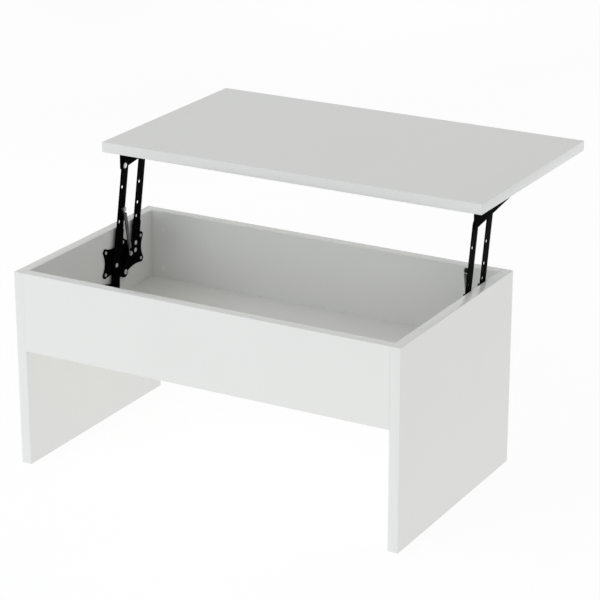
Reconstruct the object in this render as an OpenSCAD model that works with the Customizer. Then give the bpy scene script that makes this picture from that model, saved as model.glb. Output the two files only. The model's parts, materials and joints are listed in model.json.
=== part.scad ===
// Lift top coffee table: a white board cabinet whose top rises and slides
// back on two black four-bar lift mechanisms with tension springs.
// The frame: +Z up, origin on the floor under the middle of the raised table's
// box, X along the table's width, +Y towards the side that the top rises over.
// Everything is drawn with the top raised.

/* [Cabinet] */
// Outside width of the cabinet
body_w = 992; // [900:1:1100]
// Outside depth of the cabinet
body_d = 567; // [560:1:620]
// Height of the cabinet's rim above the floor
body_h = 478; // [470:1:500]
// Thickness of the side, front and back boards
board_t = 25; // [22:1:28]
// Height of the front and back boards
apron_h = 191; // [190:1:210]
// Thickness of the storage floor
floor_t = 16; // [15:1:17]
// How far the storage floor stands above the front board's lower edge
floor_up = 2; // [0:1:2]
// Thickness of the edge strips
band_t = 1; // [0.5:0.5:1]
// Height of the glides under the side boards
glide_h = 2; // [1:0.5:4]

/* [Top] */
// Width of the top
top_w = 1000; // [998:1:1010]
// Depth of the top
top_d = 575; // [570:1:590]
// Thickness of the top
top_t = 25; // [18:1:30]
// Gap between rim and top when the top is down
closed_gap = 1.5; // [1.5:0.5:3]

/* [Lift] */
// Length of each arm between its pivots
arm_len = 302; // [295:1:305]
// Lean of the raised arms behind the vertical, in degrees
arm_lean = 18.5; // [17:0.5:20]
// Rise of the folded arms above the horizontal, in degrees
arm_rise = 19.5; // [19:0.5:20]
// Lean of the arms' straight strips, in degrees
arm_tilt = 11; // [10:0.5:12]
// Width of each arm
arm_w = 29; // [26:1:29]
// Distance from the rear pivots back to the front pivots
pivot_dy = 79; // [78:1:82]
// Height of the rear pivots over the front pivots
pivot_dz = 21; // [20.5:0.5:21.5]
// Front upper pivot, behind the top's front edge
pivot_in = 44.5; // [44.5:0.5:47]
// Front upper pivot, below the top's underside
pivot_drop = 40; // [38:1:42]
// Thickness of the mounting plates
plate_t = 3; // [2:0.5:3]
// Thickness of the arms and guard plates
arm_t = 2; // [1.5:0.5:2]

/* [Spring] */
// Outside diameter of the spring's coil
coil_d = 9; // [8:0.5:9]
// Diameter of the spring wire
wire_d = 1.6; // [1.2:0.2:1.8]
// Distance of the upper spring stud down the arm from its upper pivot
stud_s = 105; // [102:1:108]

/* [Hidden] */
$fn = 48;

inner_x = body_w / 2 - board_t;
front_y = -body_d / 2;
mid_board_y = body_d / 2 - board_t / 2;
apron_z = body_h - apron_h;
floor_z = apron_z + floor_up;
floor_d = body_d - 2 * board_t;

// The top travels from its place on the rim along an arc of the arms' length.
travel = arm_len * [sin(arm_lean) + cos(arm_rise), cos(arm_lean) - sin(arm_rise)];
top_front = -top_d / 2 + travel[0];
top_under = body_h + closed_gap + travel[1];

// Middle of the raised table, measured from the middle of the cabinet.
mid_y = (top_front + top_d + front_y) / 2;

// Pivots as [y, z]. F is the front arm, R the rear arm.
arm_dir = [sin(arm_lean), cos(arm_lean)];
pivot_gap = [pivot_dy, pivot_dz];
F_UP = [top_front + pivot_in, top_under - pivot_drop];
F_LOW = F_UP - arm_len * arm_dir;
R_UP = F_UP + pivot_gap;
R_LOW = F_LOW + pivot_gap;

// Points along an arm's straight strip: s down from the upper pivot, and side
// towards the rear.
strip_dir = [sin(arm_tilt), cos(arm_tilt)];
strip_side = [cos(arm_tilt), -sin(arm_tilt)];
function strip_point(up, s, side) = up - s * strip_dir + side * strip_side;

// Layers of the mechanism, as distances from the side board's inner face.
plate_lay = [0, plate_t];
leaf_lay = [1, 3.5];
arm_lay = [4.5, 4.5 + arm_t];
doubler_lay = [arm_lay[1], arm_lay[1] + arm_t];
guard_lay = [9.5, 9.5 + arm_t];
spring_mid = 16.2;
stud_neck = [14.8, 17.5];
play = 0.1;

// Round parts of the mechanism.
low_pin_r = 5;
low_head_r = 6.5;
up_pin_r = 6;
up_head_r = 7.4;
washer_r = 9.5;
bore_play = 0.05;
doubler_out = 4.5;
arm_hole_r = 4;
rivet_r = 3;
rivet_head_r = 5.6;

// Each arm's foot: the strip's lower corners as [s, distance inside its rear
// edge], the ends of the ear at the pivot's eye, the top of the ear on the
// strip's front edge as s, and the radius of the eye.
F_FOOT = [[[288, 0], [304, 12]], [[2, -11.3], [3, 11]], 290, 11.5];
R_FOOT = [[[262, 0], [262, 23]], [[6, -13], [-13, 6]], 220, 14.5];

// Along the strips: the doubler's upper end, and the holes and rivets as
// [s, side].
F_DOUBLER = 156;
R_DOUBLER = 176;
F_HOLES = [[52, -5], [137, -5]];
R_HOLES = [[79, -4], [130, -4], [164, -4]];
F_RIVETS = [[244, -4]];
R_RIVETS = [[231, 0], [249, 1]];

// Mounting plate: its screw ears, then the lobes as [centre, radius, depth of
// the hollow that follows].
EARS = [
    F_LOW + [4.5, 34], F_LOW + [8, 89], F_LOW + [83, 95],
    F_LOW + [161, 90], F_LOW + [160, 32]
];
LOBES = [
    [EARS[0], 10, 9], [EARS[1], 10, 11], [EARS[2], 10, 12], [EARS[3], 10, 9],
    [EARS[4], 10, 8], [F_LOW + [78, 19], 12, 11]
];
// The leg below the lobes, which turns at TOE to reach the front pivot, and the
// corner inside that turn.
KNEE = F_LOW + [44, 26];
TOE = F_LOW + [42, -10];
LEG_CORNER = F_LOW + [33, 1.5];
leg_r = 9;
screw_r = 2;
screw_head_r = 4.2;
screw_len = 20;

// Spring: its lower stud stands on the guard plate, its upper one on the arm.
S_LOW = F_LOW + [95, 65];
S_UP = strip_point(F_UP, stud_s, -3);
spring_vec = S_UP - S_LOW;
spring_len = norm(spring_vec);
spring_tilt = atan2(-spring_vec[0], spring_vec[1]);
spring_stud_r = 4.2;
spring_head_r = 6;
collar_r = 5.6;
eye_r = 5.8;
eye_gap = 16;
eye_gap_up = 10;

// Upper bracket.
bracket_in = 30;
bracket_len = 300;
bracket_front_h = 49;
bracket_rear_h = 8;
bracket_foot = 34;
bracket_foot_t = 2.5;
BRACKET_SCREWS = [18, 84, 150, 216, 282];

// Board fittings.
cam_x = 34;
cam_r = 7.4;
cam_low = -4.2;
cap_r = 8.5;
cap_t = 0.8;
bolt_r = 3.4;
thread_r = 3;
thread_len = 11;
dowel_r = 4;
dowel_in = 12;
dowel_len = 30;
fit_play = 0.1;
APRON_CAMS = [apron_z + 45, body_h - 45];
APRON_DOWEL = body_h - apron_h / 2;
FLOOR_CAMS = [-150, 150];
FLOOR_DOWELS = [-210, 0, 210];
FLOOR_LONG_DOWELS = [-320, 0, 320];

// Glides and bumpers.
glide_r = 9;
glide_y = body_d / 2 - 60;
nail_r = 1.5;
nail_len = 16;
bumper_r = 5;
bumper_t = 1.2;
bumper_y = 240;

// ---- Helpers ----

// Puts a mechanism part against the left (-1) or right (1) side board.
module at_side(side) {
    mirror([side > 0 ? 1 : 0, 0, 0]) translate([-inner_x, 0, 0]) children();
}

// Extrudes a [y, z] outline across the layer lay = [start, end].
module slab(lay) {
    translate([lay[0], 0, 0])
        rotate([90, 0, 90]) linear_extrude(lay[1] - lay[0]) children();
}

// A cylinder along X at the [y, z] point p.
module pin(p, lay, r) {
    translate([lay[0], p[0], p[1]])
        rotate([0, 90, 0]) cylinder(h = lay[1] - lay[0], r = r);
}

// A low rounded rivet or pin head along X, wide at its foot.
module head(p, foot, r, h) {
    translate([foot, p[0], p[1]])
        rotate([0, 90, 0]) cylinder(h = h, r1 = r, r2 = r * 0.72);
}

// Moves a piece drawn about the cabinet's middle into the table's frame.
module centred() {
    translate([0, -mid_y, 0]) children();
}

// A box from one corner to the other.
module block(low, high) {
    translate(low) cube(high - low);
}

// ---- Board fittings ----

// Runs the children at each cam fitting. There, X runs from the side board's
// inner face into the board, and Z points out of the face that holds the cam.
module each_apron_cam() {
    for (sx = [-1, 1], sy = [-1, 1], z = APRON_CAMS)
        translate([sx * inner_x, sy * mid_board_y, z])
            rotate([0, 0, sx < 0 ? 0 : 180]) rotate([sx * sy > 0 ? -90 : 90, 0, 0])
                children();
}

module each_floor_cam() {
    for (sx = [-1, 1], y = FLOOR_CAMS)
        translate([sx * inner_x, y, floor_z + floor_t / 2])
            rotate([0, 0, sx < 0 ? 0 : 180]) rotate([180, 0, 0]) children();
}

// Along X from the side boards, at every dowel that joins them.
module each_side_dowel() {
    for (sx = [-1, 1]) {
        for (sy = [-1, 1])
            translate([sx * inner_x, sy * mid_board_y, APRON_DOWEL])
                rotate([0, 0, sx < 0 ? 0 : 180]) children();
        for (y = FLOOR_DOWELS)
            translate([sx * inner_x, y, floor_z + floor_t / 2])
                rotate([0, 0, sx < 0 ? 0 : 180]) children();
    }
}

// Along Y from the front and back boards into the storage floor.
module each_long_dowel() {
    for (sy = [-1, 1], x = FLOOR_LONG_DOWELS)
        translate([x, sy * floor_d / 2, floor_z + floor_t / 2])
            rotate([0, 0, sy < 0 ? 90 : -90]) children();
}

module along_x(start, len, r) {
    translate([start, 0, 0]) rotate([0, 90, 0]) cylinder(h = len, r = r);
}

module dowel() {
    along_x(-dowel_in, dowel_len, dowel_r);
}

module dowel_hole() {
    along_x(-dowel_in - 1, dowel_len + 2, dowel_r + fit_play);
}

module cam_bolt() {
    along_x(-thread_len, thread_len, thread_r);
    along_x(0, cam_x - 6, bolt_r);
    along_x(cam_x - 6, 4, bolt_r - 1.4);
    along_x(cam_x - 2, 4, bolt_r);
}

module cam_bolt_hole() {
    along_x(-thread_len - 1, thread_len + 1, thread_r + fit_play);
}

// The pocket in the board for a cam, its bolt and, at face, its mouth.
module cam_pocket(face) {
    along_x(0, cam_x, dowel_r);
    translate([cam_x, 0, cam_low - 0.2])
        cylinder(h = face - cam_low + 1, r = cam_r + fit_play);
}

module cam_lock(face) {
    translate([cam_x, 0, 0]) difference() {
        translate([0, 0, cam_low]) cylinder(h = face - cam_low - 0.5, r = cam_r);
        block([-cam_r - 1, -3.9, cam_low - 1], [3.2, 3.9, 4]);
        for (a = [0, 90])
            rotate([0, 0, a]) block([-3.5, -0.7, face - 3], [3.5, 0.7, face]);
    }
}

module cam_cap(face) {
    translate([cam_x, 0, face]) cylinder(h = cap_t, r1 = cap_r, r2 = cap_r - 0.5);
}

module cam_bolts() {
    color("silver") centred() {
        each_apron_cam() cam_bolt();
        each_floor_cam() cam_bolt();
    }
}

module cam_locks() {
    color("darkgray") centred() {
        each_apron_cam() cam_lock(board_t / 2);
        each_floor_cam() cam_lock(floor_t / 2);
    }
}

module cam_caps() {
    color("white") centred() {
        each_apron_cam() cam_cap(board_t / 2);
        each_floor_cam() cam_cap(floor_t / 2);
    }
}

module dowels() {
    color("burlywood") centred() {
        each_side_dowel() dowel();
        each_long_dowel() dowel();
    }
}

// ---- Cabinet ----

module screw_holes() {
    for (p = EARS) pin(p, [-screw_len - 1, 1], screw_r + fit_play);
}

module side_panel(side) {
    inner = side * inner_x;
    outer = side * body_w / 2;
    color("white") centred() difference() {
        block([min(inner, outer), front_y + band_t, glide_h],
              [max(inner, outer), -front_y - band_t, body_h - band_t]);
        each_apron_cam() cam_bolt_hole();
        each_floor_cam() cam_bolt_hole();
        each_side_dowel() dowel_hole();
        at_side(side) screw_holes();
        each_glide() glide_nail_hole();
    }
}

// Edge strips on the side board's front, top and back edges.
module side_edge(side) {
    inner = side * inner_x;
    outer = side * body_w / 2;
    low = min(inner, outer);
    high = max(inner, outer);
    color("white") centred() difference() {
        block([low, front_y, glide_h], [high, -front_y, body_h]);
        block([low - 1, front_y + band_t, glide_h - 1],
              [high + 1, -front_y - band_t, body_h - band_t]);
    }
}

// The front (-1) or back (1) board.
module apron(end) {
    outer = end * body_d / 2;
    inner = end * (body_d / 2 - board_t);
    color("white") centred() difference() {
        block([-inner_x, min(inner, outer), apron_z + band_t],
              [inner_x, max(inner, outer), body_h - band_t]);
        each_apron_cam() cam_pocket(board_t / 2);
        each_side_dowel() dowel_hole();
        each_long_dowel() dowel_hole();
    }
}

// Edge strips on the upper and lower edges of the front or back board.
module apron_edge(end) {
    outer = end * body_d / 2;
    inner = end * (body_d / 2 - board_t);
    color("white") centred() for (z = [apron_z, body_h - band_t])
        block([-inner_x, min(inner, outer), z],
              [inner_x, max(inner, outer), z + band_t]);
}

module bottom_panel() {
    color("white") centred() difference() {
        block([-inner_x, -floor_d / 2, floor_z],
              [inner_x, floor_d / 2, floor_z + floor_t]);
        each_floor_cam() cam_pocket(floor_t / 2);
        each_side_dowel() dowel_hole();
        each_long_dowel() dowel_hole();
    }
}

module each_glide() {
    for (sx = [-1, 1], sy = [-1, 1])
        translate([sx * (body_w - board_t) / 2, sy * glide_y, 0]) children();
}

module glide_nail_hole() {
    cylinder(h = glide_h + nail_len + 1, r = nail_r + fit_play);
}

module foot_glides() {
    color("gainsboro") centred() each_glide() {
        cylinder(h = glide_h / 2, r1 = glide_r - 0.8, r2 = glide_r);
        translate([0, 0, glide_h / 2]) cylinder(h = glide_h / 2, r = glide_r);
        translate([0, 0, glide_h / 2])
            cylinder(h = glide_h / 2 + nail_len, r = nail_r);
    }
}

// ---- Top ----

module top_panel() {
    color("white") centred() difference() {
        block([-top_w / 2 + band_t, top_front + band_t, top_under],
              [top_w / 2 - band_t, top_front + top_d - band_t, top_under + top_t]);
        for (side = [-1, 1]) at_side(side) each_bracket_screw()
            cylinder(h = screw_len, r = screw_r + fit_play);
    }
}

module top_edge() {
    color("white") centred() difference() {
        block([-top_w / 2, top_front, top_under],
              [top_w / 2, top_front + top_d, top_under + top_t]);
        block([-top_w / 2 + band_t, top_front + band_t, top_under - 1],
              [top_w / 2 - band_t, top_front + top_d - band_t, top_under + top_t + 1]);
    }
}

// Soft dots that meet the side boards' rim when the top is down.
module top_bumpers() {
    color("whitesmoke") centred() for (sx = [-1, 1], sy = [-1, 1])
        translate([sx * (body_w - board_t) / 2, travel[0] + sy * bumper_y,
                   top_under - bumper_t])
            cylinder(h = bumper_t, r1 = bumper_r - 0.7, r2 = bumper_r);
}

// ---- Lift mechanism ----

// The plate's outline runs clockwise around its lobes, hollowed between them.
function normal(a, b) = [a[1] - b[1], b[0] - a[0]] / norm(b - a);
function bearing(v) = atan2(v[1], v[0]);

// Outer arc of a lobe, turning from the normal m to the normal n.
function lobe_arc(c, r, m, n) =
    let (turn = (bearing(m) - bearing(n) + 720) % 360)
    [for (i = [0 : 6]) c + r * [cos(bearing(m) - turn * i / 6),
                                sin(bearing(m) - turn * i / 6)]];

// Hollow from the point a to the point b.
function hollow(a, b, depth) =
    [for (t = [0.1 : 0.1 : 0.91]) a + (b - a) * t - normal(a, b) * 4 * depth * t * (1 - t)];

module mount_plate_outline() {
    last = len(LOBES) - 1;
    polygon([for (i = [0 : last])
        let (c = LOBES[i][0], r = LOBES[i][1], next = LOBES[i < last ? i + 1 : 0],
             m = normal(LOBES[i > 0 ? i - 1 : last][0], c), n = normal(c, next[0]))
        each concat(lobe_arc(c, r, m, n),
                    hollow(c + r * n, next[0] + next[1] * n, LOBES[i][2]))]);
    turn = bearing(TOE - F_LOW) - 90;
    polygon([KNEE + [-leg_r, 20], KNEE + [leg_r, 20],
             for (i = [0 : 5]) TOE + leg_r * [cos(turn * i / 5), sin(turn * i / 5)],
             for (i = [0 : 8]) F_LOW + leg_r * [cos(turn - 22.5 * i), sin(turn - 22.5 * i)],
             LEG_CORNER]);
}

// A bar with round ends.
module limb(a, b, r) {
    hull() for (p = [a, b]) translate(p) circle(r = r, $fn = 32);
}

module mount_plate(side) {
    color("black") centred() at_side(side) difference() {
        slab(plate_lay) mount_plate_outline();
        for (p = EARS) {
            pin(p, [-1, plate_t + 1], screw_r + fit_play);
            translate([plate_t - 1.9, p[0], p[1]]) rotate([0, 90, 0])
                cylinder(h = 2.1, r1 = screw_r + fit_play,
                         r2 = screw_head_r + 2 * fit_play);
        }
        for (p = [F_LOW, R_LOW]) pin(p, [-1, plate_t + 1], low_pin_r + bore_play);
    }
}

// The outer bar that holds the lower pivots at both ends. It follows the
// plate's leg from one to the other, with an arm up to the spring's anchor.
module guard_plate(side) {
    color("black") centred() at_side(side) difference() {
        slab(guard_lay) {
            limb(F_LOW, TOE, leg_r);
            limb(TOE, KNEE, leg_r);
            limb(KNEE, R_LOW, leg_r);
            limb(R_LOW, S_LOW, leg_r);
        }
        for (p = [F_LOW, R_LOW])
            pin(p, [guard_lay[0] - 1, guard_lay[1] + 1], low_pin_r + bore_play);
        pin(S_LOW, [guard_lay[0] - 1, guard_lay[1] + 1], rivet_r + fit_play);
    }
}

module plate_screws(side) {
    color("silver") centred() at_side(side) for (p = EARS) difference() {
        union() {
            pin(p, [plate_t - screw_len, plate_t - 1], screw_r);
            translate([plate_t - 1.9, p[0], p[1]]) rotate([0, 90, 0])
                cylinder(h = 1.9, r1 = screw_r, r2 = screw_head_r);
        }
        for (a = [45, 135]) translate([plate_t - 1.2, p[0], p[1]])
            rotate([a, 0, 0]) block([0, -2.4, -0.5], [2, 2.4, 0.5]);
    }
}

module lower_pivots(side) {
    color("silver") centred() at_side(side) for (p = [F_LOW, R_LOW]) {
        pin(p, [0, guard_lay[1]], low_pin_r);
        head(p, guard_lay[1], low_head_r, 1.2);
    }
}

module washer(p, lay, bore) {
    difference() {
        pin(p, lay, washer_r);
        pin(p, [lay[0] - 1, lay[1] + 1], bore);
    }
}

module lower_washers(side) {
    inner_lay = [plate_lay[1], arm_lay[0] - play];
    outer_lay = [doubler_lay[1] + play, guard_lay[0]];
    color("dimgray") centred() at_side(side) for (p = [F_LOW, R_LOW], lay = [inner_lay, outer_lay])
        washer(p, lay, low_pin_r + bore_play);
}

// The collar, neck and head of a spring stud, from the face at foot.
module stud(p, foot) {
    pin(p, [foot, stud_neck[0]], collar_r);
    pin(p, stud_neck, spring_stud_r);
    head(p, stud_neck[1], spring_head_r, 1.5);
}

// The stud on the guard plate that holds the spring's lower eye.
module spring_anchor(side) {
    color("silver") centred() at_side(side) {
        pin(S_LOW, guard_lay, rivet_r);
        stud(S_LOW, guard_lay[1]);
    }
}

// A straight strip from start down to its foot, whose ear reaches forward to
// the lower pivot. The strip's front edge stands out further by out.
module arm_outline(low, up, start, foot, out) {
    half = arm_w / 2;
    polygon(concat([strip_point(up, start, half)],
                   [for (c = foot[0]) strip_point(up, c[0], half - c[1])],
                   [for (p = foot[1]) low + p],
                   [strip_point(up, foot[2], -half - out),
                    strip_point(up, start, -half - out)]));
    translate(low) circle(r = foot[3]);
}

module arm(side, low, up, foot, holes, rivets) {
    color("black") centred() at_side(side) difference() {
        slab(arm_lay) {
            arm_outline(low, up, 0, foot, 0);
            translate(up) circle(d = arm_w);
        }
        pin(low, [0, guard_lay[1]], low_pin_r + bore_play);
        pin(up, [0, guard_lay[1]], up_pin_r + bore_play);
        for (h = holes)
            pin(strip_point(up, h[0], h[1]), [0, guard_lay[1]], arm_hole_r);
        for (h = rivets)
            pin(strip_point(up, h[0], h[1]), [0, guard_lay[1]], rivet_r + fit_play);
    }
}

// The wider strip riveted to an arm's lower part.
module doubler(side, low, up, start, foot, rivets) {
    color("black") centred() at_side(side) difference() {
        slab(doubler_lay) arm_outline(low, up, start, foot, doubler_out);
        pin(low, [0, guard_lay[1]], low_pin_r + bore_play);
        for (h = rivets)
            pin(strip_point(up, h[0], h[1]), [0, guard_lay[1]], rivet_r + fit_play);
    }
}

module arm_rivets(side, up, rivets) {
    color("silver") centred() at_side(side) for (h = rivets) {
        pin(strip_point(up, h[0], h[1]), [arm_lay[0], doubler_lay[1]], rivet_r);
        head(strip_point(up, h[0], h[1]), doubler_lay[1], rivet_head_r, 0.6);
    }
}

// Runs the children at each bracket screw, under the top's underside.
module each_bracket_screw() {
    for (s = BRACKET_SCREWS)
        translate([leaf_lay[0] + bracket_foot / 2 + 1.5,
                   top_front + bracket_in + s, top_under])
            children();
}

// The angle bracket under the top: an upright leaf that tapers to the rear, and
// a flat foot.
module top_bracket(side) {
    y0 = top_front + bracket_in;
    y1 = y0 + bracket_len;
    low = top_under - bracket_front_h;
    color("black") centred() at_side(side) difference() {
        union() {
            slab(leaf_lay)
                polygon([[y0, top_under], [y0, low + 4], [y0 + 4, low],
                         [y1, top_under - bracket_rear_h], [y1, top_under]]);
            block([leaf_lay[0], y0, top_under - bracket_foot_t],
                  [leaf_lay[0] + bracket_foot, y1, top_under]);
        }
        each_bracket_screw() translate([0, 0, -bracket_foot_t - 1])
            cylinder(h = bracket_foot_t + 2, r = screw_r + fit_play);
    }
}

module bracket_screws(side) {
    color("silver") centred() at_side(side) each_bracket_screw() difference() {
        union() {
            translate([0, 0, -bracket_foot_t]) cylinder(h = 18, r = screw_r);
            translate([0, 0, -bracket_foot_t - 2])
                cylinder(h = 2, r1 = screw_head_r * 0.7, r2 = screw_head_r);
        }
        for (a = [0, 90]) rotate([0, 0, a])
            block([-2.2, -0.5, -bracket_foot_t - 3], [2.2, 0.5, -bracket_foot_t - 0.9]);
    }
}

// Studs welded to the bracket's leaf, on which the arms turn.
module upper_pivots(side) {
    color("silver") centred() at_side(side) for (p = [F_UP, R_UP]) {
        pin(p, [leaf_lay[1], arm_lay[1] + play], up_pin_r);
        head(p, arm_lay[1] + play, up_head_r, 1.4);
    }
}

module upper_washers(side) {
    color("dimgray") centred() at_side(side) for (p = [F_UP, R_UP])
        washer(p, [leaf_lay[1], arm_lay[0] - play], up_pin_r + bore_play);
}

// ---- Spring ----

// Stands the children on the lower stud, with Z along the spring.
module along_spring() {
    translate([spring_mid, S_LOW[0], S_LOW[1]]) rotate([spring_tilt, 0, 0]) children();
}

module spring_coil(side) {
    color("gray") centred() at_side(side) along_spring() translate([0, 0, eye_gap + 0.3])
        difference() {
            cylinder(h = spring_len - eye_gap - eye_gap_up - 0.6, d = coil_d);
            translate([0, 0, -1])
                cylinder(h = spring_len, d = coil_d - 2 * wire_d);
        }
}

// A wire eye around a stud, with the short tail that runs into the coil.
module spring_eye(gap) {
    rotate([0, 90, 0]) rotate_extrude() translate([eye_r, 0]) circle(d = wire_d, $fn = 24);
    translate([0, 0, eye_r - 0.6]) cylinder(h = gap - eye_r + 0.6, d = wire_d);
}

module spring_eye_low(side) {
    color("gray") centred() at_side(side) along_spring() spring_eye(eye_gap);
}

module spring_eye_up(side) {
    color("gray") centred() at_side(side) along_spring() translate([0, 0, spring_len])
        rotate([180, 0, 0]) spring_eye(eye_gap_up);
}

// The stud on the front arm's face that holds the spring's upper eye.
module spring_stud(side) {
    color("silver") centred() at_side(side) stud(S_UP, arm_lay[1] + 0.3);
}

// ---- Nodes ----

side_panel(-1);  // side_panel_left
side_panel(1);  // side_panel_right
apron(-1);  // front_panel
apron(1);  // back_panel
bottom_panel();
side_edge(-1);  // side_edge_left
side_edge(1);  // side_edge_right
apron_edge(-1);  // front_edge
apron_edge(1);  // back_edge
foot_glides();
cam_bolts();
cam_locks();
cam_caps();
dowels();
top_panel();
top_edge();
top_bumpers();
mount_plate(-1);  // mount_plate_left
guard_plate(-1);  // guard_plate_left
plate_screws(-1);  // plate_screws_left
lower_pivots(-1);  // lower_pivots_left
lower_washers(-1);  // lower_washers_left
spring_anchor(-1);  // spring_anchor_left
arm(-1, F_LOW, F_UP, F_FOOT, F_HOLES, F_RIVETS);  // front_arm_left
doubler(-1, F_LOW, F_UP, F_DOUBLER, F_FOOT, F_RIVETS);  // front_doubler_left
arm_rivets(-1, F_UP, F_RIVETS);  // front_rivets_left
arm(-1, R_LOW, R_UP, R_FOOT, R_HOLES, R_RIVETS);  // rear_arm_left
doubler(-1, R_LOW, R_UP, R_DOUBLER, R_FOOT, R_RIVETS);  // rear_doubler_left
arm_rivets(-1, R_UP, R_RIVETS);  // rear_rivets_left
top_bracket(-1);  // top_bracket_left
bracket_screws(-1);  // bracket_screws_left
upper_pivots(-1);  // upper_pivots_left
upper_washers(-1);  // upper_washers_left
spring_coil(-1);  // spring_coil_left
spring_eye_low(-1);  // spring_eye_low_left
spring_eye_up(-1);  // spring_eye_up_left
spring_stud(-1);  // spring_stud_left
mount_plate(1);  // mount_plate_right
guard_plate(1);  // guard_plate_right
plate_screws(1);  // plate_screws_right
lower_pivots(1);  // lower_pivots_right
lower_washers(1);  // lower_washers_right
spring_anchor(1);  // spring_anchor_right
arm(1, F_LOW, F_UP, F_FOOT, F_HOLES, F_RIVETS);  // front_arm_right
doubler(1, F_LOW, F_UP, F_DOUBLER, F_FOOT, F_RIVETS);  // front_doubler_right
arm_rivets(1, F_UP, F_RIVETS);  // front_rivets_right
arm(1, R_LOW, R_UP, R_FOOT, R_HOLES, R_RIVETS);  // rear_arm_right
doubler(1, R_LOW, R_UP, R_DOUBLER, R_FOOT, R_RIVETS);  // rear_doubler_right
arm_rivets(1, R_UP, R_RIVETS);  // rear_rivets_right
top_bracket(1);  // top_bracket_right
bracket_screws(1);  // bracket_screws_right
upper_pivots(1);  // upper_pivots_right
upper_washers(1);  // upper_washers_right
spring_coil(1);  // spring_coil_right
spring_eye_low(1);  // spring_eye_low_right
spring_eye_up(1);  // spring_eye_up_right
spring_stud(1);  // spring_stud_right
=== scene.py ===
import json
import math

import bmesh
import bpy
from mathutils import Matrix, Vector
from mathutils.geometry import tessellate_polygon


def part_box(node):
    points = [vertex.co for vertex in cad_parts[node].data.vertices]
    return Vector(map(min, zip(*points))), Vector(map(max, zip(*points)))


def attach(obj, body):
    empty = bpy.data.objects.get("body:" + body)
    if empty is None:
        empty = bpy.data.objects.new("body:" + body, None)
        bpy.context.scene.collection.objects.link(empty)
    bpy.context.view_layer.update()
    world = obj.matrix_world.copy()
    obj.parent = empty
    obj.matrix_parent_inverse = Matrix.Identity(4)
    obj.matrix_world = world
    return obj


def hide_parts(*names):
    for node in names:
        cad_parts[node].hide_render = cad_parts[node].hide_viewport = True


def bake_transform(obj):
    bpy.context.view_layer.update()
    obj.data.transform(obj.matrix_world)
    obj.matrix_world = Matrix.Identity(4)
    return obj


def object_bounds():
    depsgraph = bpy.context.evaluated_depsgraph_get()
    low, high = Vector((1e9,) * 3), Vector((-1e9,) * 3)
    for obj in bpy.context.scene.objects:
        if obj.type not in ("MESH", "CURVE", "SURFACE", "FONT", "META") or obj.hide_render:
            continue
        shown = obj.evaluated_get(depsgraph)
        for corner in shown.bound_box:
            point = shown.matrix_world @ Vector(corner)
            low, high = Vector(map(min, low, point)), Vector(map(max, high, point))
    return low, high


# A lift top coffee table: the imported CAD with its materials, and pieces that
# replace its edge strips, its coated steel parts and its springs.

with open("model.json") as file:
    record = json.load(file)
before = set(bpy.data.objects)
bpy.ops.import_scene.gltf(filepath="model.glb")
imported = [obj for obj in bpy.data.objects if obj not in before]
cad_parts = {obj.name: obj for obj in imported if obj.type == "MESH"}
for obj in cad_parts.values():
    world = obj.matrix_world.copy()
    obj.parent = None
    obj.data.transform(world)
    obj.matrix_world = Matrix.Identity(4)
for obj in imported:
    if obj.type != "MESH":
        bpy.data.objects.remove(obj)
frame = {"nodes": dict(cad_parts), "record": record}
CAD_LOW, CAD_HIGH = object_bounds()
NODES = frame["nodes"]
HANDS = ("left", "right")
scene = bpy.context.scene


# ---------------------------------------------------------------- materials

def new_material(name):
    mat = bpy.data.materials.new(name)
    mat.use_nodes = True
    tree = mat.node_tree
    return mat, tree, tree.nodes["Principled BSDF"]


def add(tree, kind, **values):
    node = tree.nodes.new(kind)
    for key, value in values.items():
        setattr(node, key, value)
    return node


def feed(tree, source, shader, socket):
    tree.links.new(source, shader.inputs[socket])


def noise(tree, scale, detail=2.0, rough=0.5, stretch=None):
    coord = add(tree, "ShaderNodeTexCoord")
    vector = coord.outputs["Object"]
    if stretch:
        mapping = add(tree, "ShaderNodeMapping")
        mapping.inputs["Scale"].default_value = stretch
        feed(tree, vector, mapping, "Vector")
        vector = mapping.outputs["Vector"]
    node = add(tree, "ShaderNodeTexNoise")
    node.inputs["Scale"].default_value = scale
    node.inputs["Detail"].default_value = detail
    node.inputs["Roughness"].default_value = rough
    feed(tree, vector, node, "Vector")
    return node.outputs["Fac"]


def ramp(tree, source, low, high, start=0.3, end=0.7):
    """Colours from low to high as source goes from start to end."""
    node = add(tree, "ShaderNodeValToRGB")
    node.color_ramp.elements[0].position = start
    node.color_ramp.elements[1].position = end
    node.color_ramp.elements[0].color = (*low, 1)
    node.color_ramp.elements[1].color = (*high, 1)
    feed(tree, source, node, "Fac")
    return node.outputs["Color"]


def spread(tree, source, low, high):
    """Numbers from low to high as source goes from 0 to 1."""
    node = add(tree, "ShaderNodeMapRange")
    node.inputs["To Min"].default_value = low
    node.inputs["To Max"].default_value = high
    feed(tree, source, node, "Value")
    return node.outputs["Result"]


def bump(tree, shader, source, strength, distance):
    node = add(tree, "ShaderNodeBump")
    node.inputs["Strength"].default_value = strength
    node.inputs["Distance"].default_value = distance
    feed(tree, source, node, "Height")
    feed(tree, node.outputs["Normal"], shader, "Normal")


def mottled(name, colour, rough, relief):
    """A material whose colour, roughness and relief each follow a noise.

    colour and rough are the noise's scale and detail, then the lowest and the
    highest value. relief is the noise's scale, then the bump's strength and
    distance."""
    mat, tree, bsdf = new_material(name)
    scale, detail, low, high = colour
    feed(tree, ramp(tree, noise(tree, scale, detail), low, high), bsdf, "Base Color")
    scale, detail, low, high = rough
    feed(tree, spread(tree, noise(tree, scale, detail), low, high), bsdf, "Roughness")
    scale, strength, distance = relief
    bump(tree, bsdf, noise(tree, scale), strength, distance)
    return mat, bsdf


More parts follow.
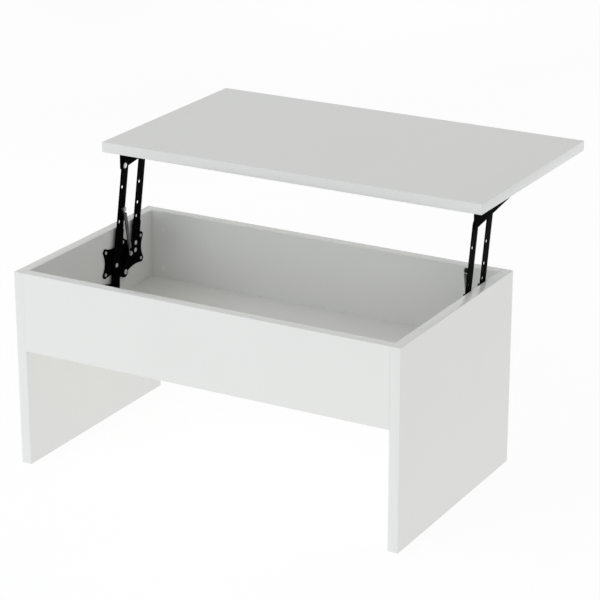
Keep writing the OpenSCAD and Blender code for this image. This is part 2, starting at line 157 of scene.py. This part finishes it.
def lacquer(name, low, high, rough, coat):
    mat, bsdf = mottled(name, (3.0, 3.0, low, high),
                        (22.0, 4.0, rough - 0.03, rough + 0.03), (260.0, 0.04, 0.0006))
    bsdf.inputs["Coat Weight"].default_value = coat
    bsdf.inputs["Coat Roughness"].default_value = 0.06
    return mat


def powder_coat(name):
    mat, bsdf = mottled(name, (60.0, 3.0, (0.0005, 0.0005, 0.0006), (0.0014, 0.0014, 0.0016)),
                        (180.0, 3.0, 0.42, 0.6), (1500.0, 0.25, 0.0002))
    bsdf.inputs["Specular IOR Level"].default_value = 0.01
    return mat


def metal(name, low, high, rough_low, rough_high):
    mat, bsdf = mottled(name, (90.0, 4.0, low, high),
                        (400.0, 3.0, rough_low, rough_high), (800.0, 0.1, 0.0001))
    bsdf.inputs["Metallic"].default_value = 1.0
    return mat


def plastic(name, low, high, rough):
    mat, _ = mottled(name, (40.0, 3.0, low, high),
                     (300.0, 2.0, rough - 0.06, rough + 0.06), (900.0, 0.1, 0.0001))
    return mat


def stud_with_painted_light(name):
    """Dark steel with painted light: its end faces across x are painted bright as a highlight,
    and its sides dark as shade.
    """
    mat, tree, bsdf = new_material(name)
    bsdf.inputs["Metallic"].default_value = 1.0
    coord = add(tree, "ShaderNodeTexCoord")
    split = add(tree, "ShaderNodeSeparateXYZ")
    painted_highlight_mask = add(tree, "ShaderNodeMath", operation="ABSOLUTE")
    feed(tree, coord.outputs["Normal"], split, "Vector")
    feed(tree, split.outputs["X"], painted_highlight_mask, 0)
    # Painted highlight on faces whose normal points along x, painted shade on the rest.
    colour = ramp(tree, painted_highlight_mask.outputs["Value"],
                  (0.02, 0.02, 0.021), (0.66, 0.66, 0.68), start=0.6, end=0.9)
    feed(tree, colour, bsdf, "Base Color")
    feed(tree, spread(tree, noise(tree, 500.0, 3.0), 0.3, 0.45), bsdf, "Roughness")
    bump(tree, bsdf, noise(tree, 900.0), 0.1, 0.0001)
    return mat


def beech(name):
    """Wood with its grain along x."""
    mat, tree, bsdf = new_material(name)
    grain = noise(tree, 60.0, 6.0, 0.65, stretch=(0.15, 1.0, 1.0))
    feed(tree, ramp(tree, grain, (0.42, 0.26, 0.13), (0.62, 0.43, 0.25)), bsdf, "Base Color")
    feed(tree, spread(tree, grain, 0.55, 0.75), bsdf, "Roughness")
    bump(tree, bsdf, grain, 0.2, 0.0003)
    return mat


# One material for each of the record's material slots.
MATERIALS = {
    "board": lacquer("gloss_white_board",
                     (0.835, 0.828, 0.802), (0.85, 0.843, 0.817), rough=0.2, coat=0.5),
    "edge_band": lacquer("white_edge_band",
                         (0.835, 0.831, 0.81), (0.855, 0.851, 0.83), rough=0.24, coat=0.35),
    "white_plastic": plastic("white_moulded_plastic",
                             (0.828, 0.821, 0.795), (0.845, 0.838, 0.812), rough=0.3),
    "soft_bumper": plastic("soft_dot_rubber", (0.6, 0.6, 0.6), (0.68, 0.68, 0.68), rough=0.55),
    "black_steel": powder_coat("black_powder_coat"),
    "zinc_steel": metal("bright_zinc", (0.6, 0.6, 0.62), (0.78, 0.78, 0.8), 0.22, 0.42),
    "zinc_casting": metal("dull_zinc", (0.36, 0.36, 0.38), (0.48, 0.48, 0.5), 0.4, 0.6),
    "spring_steel": metal("spring_wire", (0.17, 0.17, 0.175), (0.27, 0.27, 0.275), 0.3, 0.45),
    "nylon_washer": plastic("black_nylon",
                            (0.012, 0.012, 0.012), (0.02, 0.02, 0.02), rough=0.5),
    "beech": beech("beech_dowel"),
}


def dress(obj, mat):
    if not obj.data.materials:
        obj.data.materials.append(mat)
    for slot in obj.material_slots:
        slot.link = "OBJECT"
        slot.material = mat


SLOT_OF = {s["node"]: s["material_slot"] for s in frame["record"]["subparts"]}
for name, node in NODES.items():
    dress(node, MATERIALS[SLOT_OF[name]])

# The spring studs and anchors get painted highlight on their ends and painted shade on their
# sides.
stud_painted_light = stud_with_painted_light("black_stud_bright_ends")
for hand in HANDS:
    for stud in ("spring_stud_", "spring_anchor_"):
        dress(NODES[stud + hand], stud_painted_light)


# ---------------------------------------------------------------- pieces

WELD = 1e-5                             # metres: points this close are one point
EXACT = 1e-6                            # metres: the same, where no detail may go
FLAT_BELOW = math.radians(1.0)          # faces that meet flatter than this are merged
SMOOTH_BELOW = math.radians(30)         # edges flatter than this are shaded smooth
SHARP_ABOVE = math.radians(40)          # a coated part's edges to ease
STRIP_CORNER = 1.0                      # radians: an edge strip's corners to round
STRIP_ROUND = 0.0007                    # metres: their width
COATED_ROUND = 0.0003                   # metres: width of a coated part's eased edges
MITRE_LIMIT = 0.5                       # least cosine of half a corner's turn


def body_of_node(name):
    for body, nodes in frame["record"]["behaviour"]["bodies"].items():
        if name in nodes:
            return body
    raise KeyError(name)


def clean_copy(name):
    """The CAD node's mesh as a new bmesh, welded, with its flat faces merged."""
    bm = bmesh.new()
    bm.from_mesh(NODES[name].data)
    bmesh.ops.remove_doubles(bm, verts=bm.verts, dist=WELD)
    bmesh.ops.dissolve_limit(bm, angle_limit=FLAT_BELOW, verts=bm.verts, edges=bm.edges)
    bm.normal_update()
    return bm


def new_object(bm, name, slot):
    """An object of bm, shaded smooth but for its sharper edges."""
    for face in bm.faces:
        face.smooth = True
    for edge in bm.edges:
        edge.smooth = edge.is_manifold and edge.calc_face_angle(0) < SMOOTH_BELOW
    mesh = bpy.data.meshes.new(name)
    bm.to_mesh(mesh)
    bm.free()
    piece = bpy.data.objects.new(name, mesh)
    scene.collection.objects.link(piece)
    piece.data.materials.append(MATERIALS[slot])
    return piece


def stand_in(bm, node, suffix, slot):
    """Makes a piece of bm that stands for the CAD node and rides on its body."""
    piece = new_object(bm, node + suffix, slot)
    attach(piece, body_of_node(node))
    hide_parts(node)


def round_edges(bm, edges, width, segments):
    bmesh.ops.bevel(bm, geom=edges, offset=width, segments=segments, profile=0.5,
                    affect="EDGES", clamp_overlap=True)


def edge_strip(name, free_ends):
    """A glued strip whose outer edges are scraped round. free_ends says whether
    its ends across x are outer faces too, or meet the side boards."""
    low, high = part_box(name)
    bm = clean_copy(name)
    chosen = []
    for edge in bm.edges:
        middle = (edge.verts[0].co + edge.verts[1].co) / 2
        outer = [min(abs(middle[i] - low[i]), abs(middle[i] - high[i])) < WELD
                 for i in range(3)]
        if not free_ends:
            outer[0] = False
        if sum(outer) >= 2 and edge.is_manifold and edge.calc_face_angle(0) > STRIP_CORNER:
            chosen.append(edge)
    round_edges(bm, chosen, STRIP_ROUND, 3)
    stand_in(bm, name, "_rounded", "edge_band")


def soft_plate(name):
    """A bent or cut steel part with its sharp edges eased under the coating."""
    bm = clean_copy(name)
    sharp = [e for e in bm.edges if e.is_manifold and e.calc_face_angle(0) > SHARP_ABOVE]
    round_edges(bm, sharp, COATED_ROUND, 2)
    bmesh.ops.dissolve_degenerate(bm, dist=EXACT, edges=bm.edges)
    stand_in(bm, name, "_coated", "black_steel")


def face_loops(name, x):
    """The outline and hole loops of a CAD slab's face at x, as [y, z] points that
    run with the steel on their left."""
    bm = bmesh.new()
    bm.from_mesh(NODES[name].data)
    bmesh.ops.remove_doubles(bm, verts=bm.verts, dist=EXACT)
    # A dict keeps the faces' order. A set's order would change from run to run.
    flat = dict.fromkeys(f for f in bm.faces if all(abs(v.co.x - x) < EXACT for v in f.verts))
    after = {}
    for face in flat:
        for corner in face.loops:
            if not any(f in flat for f in corner.edge.link_faces if f is not face):
                after[corner.vert] = corner.link_loop_next.vert
    loops = []
    while after:
        first, vert = after.popitem()
        loop = [first]
        while vert is not first:
            loop.append(vert)
            vert = after.pop(vert)
        loops.append([Vector((v.co.y, v.co.z)) for v in loop])
    bm.free()
    return loops


def inset(loop, width):
    """The loop moved to its left by width."""
    moved = []
    for i, point in enumerate(loop):
        before = (point - loop[i - 1]).normalized()
        ahead = (loop[(i + 1) % len(loop)] - point).normalized()
        bisector = Vector((-before.y - ahead.y, before.x + ahead.x)).normalized()
        lean = max(MITRE_LIMIT, bisector.dot(Vector((-ahead.y, ahead.x))))
        moved.append(point + bisector * width / lean)
    return moved


def pressed_strip(name):
    """A punched steel strip whose face edges are rounded over under the coating."""
    low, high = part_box(name)
    loops = face_loops(name, high.x)
    bm = bmesh.new()
    # How far in from the face, and from the outline, the rounding's rings lie.
    arc = [(COATED_ROUND * (1 - math.cos(a)), COATED_ROUND * (1 - math.sin(a)))
           for a in (0, math.pi / 4, math.pi / 2)]
    layers = [(low.x + d, w) for d, w in arc] + [(high.x - d, w) for d, w in reversed(arc)]
    ends = ([], [])
    for loop in loops:
        rings = [[bm.verts.new((x, p.x, p.y)) for p in inset(loop, w)] for x, w in layers]
        for near, far in zip(rings, rings[1:]):
            for k in range(len(loop)):
                n = (k + 1) % len(loop)
                bm.faces.new((near[k], near[n], far[n], far[k]))
        ends[0].append(rings[0])
        ends[1].append(rings[-1])
    for rings in ends:
        verts = [v for ring in rings for v in ring]
        for corners in tessellate_polygon([[v.co for v in ring] for ring in rings]):
            bm.faces.new([verts[c] for c in corners])
    bmesh.ops.recalc_face_normals(bm, faces=bm.faces)
    stand_in(bm, name, "_coated", "black_steel")


# The tension springs, in metres and degrees.
GAP_LOW, GAP_UP = 0.0163, 0.0103        # from each stud's middle to the coil's end
HOOK_R = 0.0056                         # from a stud's middle to its hook's wire
HOOK_TURN = 280                         # how far a hook goes round its stud
WIRE_R = 0.0008
PITCH = 2 * WIRE_R * 1.02               # from turn to turn: almost touching
WIRE_SIDES = 8
TURN_STEPS, HOOK_STEPS, SHANK_STEPS = 16, 22, 6


def wire(points, radius, sides):
    """A round wire along the points, closed at both ends, as a bmesh."""
    bm = bmesh.new()
    rings = []
    side = Vector((1, 0, 0))
    for i, point in enumerate(points):
        ahead = points[min(i + 1, len(points) - 1)] - points[max(i - 1, 0)]
        ahead.normalize()
        side = (side - ahead * side.dot(ahead)).normalized()
        other = ahead.cross(side)
        rings.append([bm.verts.new(point + radius * (math.cos(a) * side + math.sin(a) * other))
                      for a in (2 * math.pi * k / sides for k in range(sides))])
    for first, second in zip(rings, rings[1:]):
        for k in range(sides):
            n = (k + 1) % sides
            bm.faces.new((first[k], first[n], second[n], second[k]))
    bm.faces.new(list(reversed(rings[0])))
    bm.faces.new(rings[-1])
    bmesh.ops.recalc_face_normals(bm, faces=bm.faces)
    return bm


def node_middle(name):
    low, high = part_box(name)
    return (low + high) / 2


def spring_path(low_stud, up_stud, coil_r):
    """Points along the wire, and the spring's direction. The wire makes a hook
    round the low stud, a shank, the close-wound coil, a shank, and a hook round
    the upper stud."""
    along = (up_stud - low_stud).normalized()
    across = Vector((1, 0, 0))
    side = along.cross(across)
    length = (up_stud - low_stud).length
    coil_len = length - GAP_LOW - GAP_UP
    turns = int(coil_len / PITCH)
    shank_at = -90

    def hook(centre, start, end):
        for k in range(HOOK_STEPS + 1):
            a = math.radians(start + (end - start) * k / HOOK_STEPS)
            yield centre + HOOK_R * (math.cos(a) * along + math.sin(a) * side)

    def shank(k):
        """Offset of the shank's wire: from the hook, k = 0, to the coil, k = 1."""
        t = k * k * (3 - 2 * k)
        offset = HOOK_R + (coil_r - HOOK_R) * t
        return -side * offset

    points = list(hook(low_stud, shank_at - HOOK_TURN, shank_at))
    points += [low_stud + along * GAP_LOW * k / SHANK_STEPS + shank(k / SHANK_STEPS)
               for k in range(1, SHANK_STEPS)]
    for k in range(turns * TURN_STEPS + 1):
        turn = 2 * math.pi * k / TURN_STEPS
        place = along * (GAP_LOW + coil_len * k / (turns * TURN_STEPS))
        points.append(low_stud + place
                      - coil_r * (math.cos(turn) * side - math.sin(turn) * across))
    points += [up_stud - along * GAP_UP * k / SHANK_STEPS + shank(k / SHANK_STEPS)
               for k in range(SHANK_STEPS - 1, 0, -1)]
    points += list(hook(up_stud, shank_at, shank_at + HOOK_TURN))
    return points, along


def tension_spring(hand):
    """One wound wire between its two studs."""
    coil, eye_low, eye_up = ("spring_%s_%s" % (part, hand)
                             for part in ("coil", "eye_low", "eye_up"))
    coil_low, coil_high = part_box(coil)
    coil_r = (coil_high.x - coil_low.x) / 2 - WIRE_R
    low_stud = node_middle("spring_anchor_" + hand)
    up_stud = node_middle("spring_stud_" + hand)
    low_stud.x = up_stud.x = (coil_low.x + coil_high.x) / 2
    points, along = spring_path(low_stud, up_stud, coil_r)
    piece = new_object(wire(points, WIRE_R, WIRE_SIDES), "tension_spring_" + hand,
                       "spring_steel")
    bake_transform(piece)
    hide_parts(coil, eye_low, eye_up)


for name in ("side_edge_left", "side_edge_right", "top_edge"):
    edge_strip(name, free_ends=True)
for name in ("front_edge", "back_edge"):
    edge_strip(name, free_ends=False)
for hand in HANDS:
    for part in ("mount_plate", "guard_plate", "top_bracket"):
        soft_plate(part + "_" + hand)
    for part in ("front_arm", "front_doubler", "rear_arm", "rear_doubler"):
        pressed_strip(part + "_" + hand)
    tension_spring(hand)


# ---------------------------------------------------------------- floor, light, camera

FLOOR_FRONT, FLOOR_BACK, FLOOR_SIDE = -9, 14, 9     # metres from the origin
FLOOR_DROP = 0.0005                                 # metres below the table's feet
FLOOR_GLOW = 0.875

SKY_LEFT = (0.7, 0.725, 0.745)
SKY_RIGHT = (0.32, 0.37, 0.43)
SKY_OVERHEAD = (0.685, 0.678, 0.66)

KEY_WATTS = 26.5
KEY_TINT = (0.87, 0.99, 1.09)
KEY_SIZE = (3.0, 2.0)
KEY_PLACE = (-1.6, -4.2, 1.7)
KEY_AIM = (0, 0, 0.35)

# The photograph's viewpoint. Its azimuth is from the front towards the right.
CAMERA_PLACE = (2.5411, -4.5508, 2.2502)
AZIMUTH, ELEVATION = math.radians(29.302), math.radians(20.069)
SENSOR_MM, LENS_MM = 36.0, 140.14
CLIP_NEAR, CLIP_FAR = 0.05, 100


def studio_floor():
    """A pale floor that glows a little, as a lit studio sweep does."""
    mesh = bpy.data.meshes.new("floor")
    corners = [(-FLOOR_SIDE, FLOOR_FRONT, 0), (FLOOR_SIDE, FLOOR_FRONT, 0),
               (FLOOR_SIDE, FLOOR_BACK, 0), (-FLOOR_SIDE, FLOOR_BACK, 0)]
    mesh.from_pydata(corners, [], [(0, 1, 2, 3)])
    floor = bpy.data.objects.new("floor", mesh)
    scene.collection.objects.link(floor)
    floor.location.z = CAD_LOW.z - FLOOR_DROP
    mat, tree, bsdf = new_material("pale_floor")
    colour = ramp(tree, noise(tree, 0.6), (0.15, 0.15, 0.15), (0.17, 0.17, 0.17))
    feed(tree, colour, bsdf, "Base Color")
    bsdf.inputs["Roughness"].default_value = 0.9
    bsdf.inputs["Specular IOR Level"].default_value = 0.0
    bsdf.inputs["Emission Color"].default_value = (1, 1, 1, 1)
    bsdf.inputs["Emission Strength"].default_value = FLOOR_GLOW
    floor.data.materials.append(mat)


def soft_sky(left, right, overhead):
    """A sky whose horizon turns from left's colour to right's, and that takes
    overhead's colour higher up."""
    world = bpy.data.worlds.new("studio")
    world.use_nodes = True
    tree = world.node_tree
    coord = add(tree, "ShaderNodeTexCoord")
    split = add(tree, "ShaderNodeSeparateXYZ")
    feed(tree, coord.outputs["Generated"], split, "Vector")
    mix = add(tree, "ShaderNodeMixRGB")
    mix.inputs["Color2"].default_value = (*overhead, 1)
    feed(tree, split.outputs["Z"], mix, "Fac")
    feed(tree, ramp(tree, split.outputs["X"], left, right, start=0.0, end=1.0), mix, "Color1")
    feed(tree, mix.outputs["Color"], tree.nodes["Background"], "Color")
    scene.world = world


def soft_light(name, energy, tint, size, place, aim):
    data = bpy.data.lights.new(name, "AREA")
    data.color = tint
    data.shape = "RECTANGLE"
    data.size, data.size_y = size
    data.energy = energy
    lamp = bpy.data.objects.new(name, data)
    scene.collection.objects.link(lamp)
    lamp.location = place
    lamp.rotation_euler = (Vector(aim) - Vector(place)).to_track_quat("-Z", "Y").to_euler()


studio_floor()
soft_sky(SKY_LEFT, SKY_RIGHT, SKY_OVERHEAD)
soft_light("key", KEY_WATTS, KEY_TINT, KEY_SIZE, KEY_PLACE, KEY_AIM)
scene.view_settings.view_transform = "Standard"

camera = bpy.data.objects.new("camera", bpy.data.cameras.new("camera"))
scene.collection.objects.link(camera)
backwards = Vector((math.sin(AZIMUTH) * math.cos(ELEVATION),
                    -math.cos(AZIMUTH) * math.cos(ELEVATION), math.sin(ELEVATION)))
camera.location = CAMERA_PLACE
camera.rotation_euler = backwards.to_track_quat("Z", "Y").to_euler()
camera.data.sensor_width = SENSOR_MM
camera.data.lens = LENS_MM
camera.data.clip_start, camera.data.clip_end = CLIP_NEAR, CLIP_FAR
scene.camera = camera
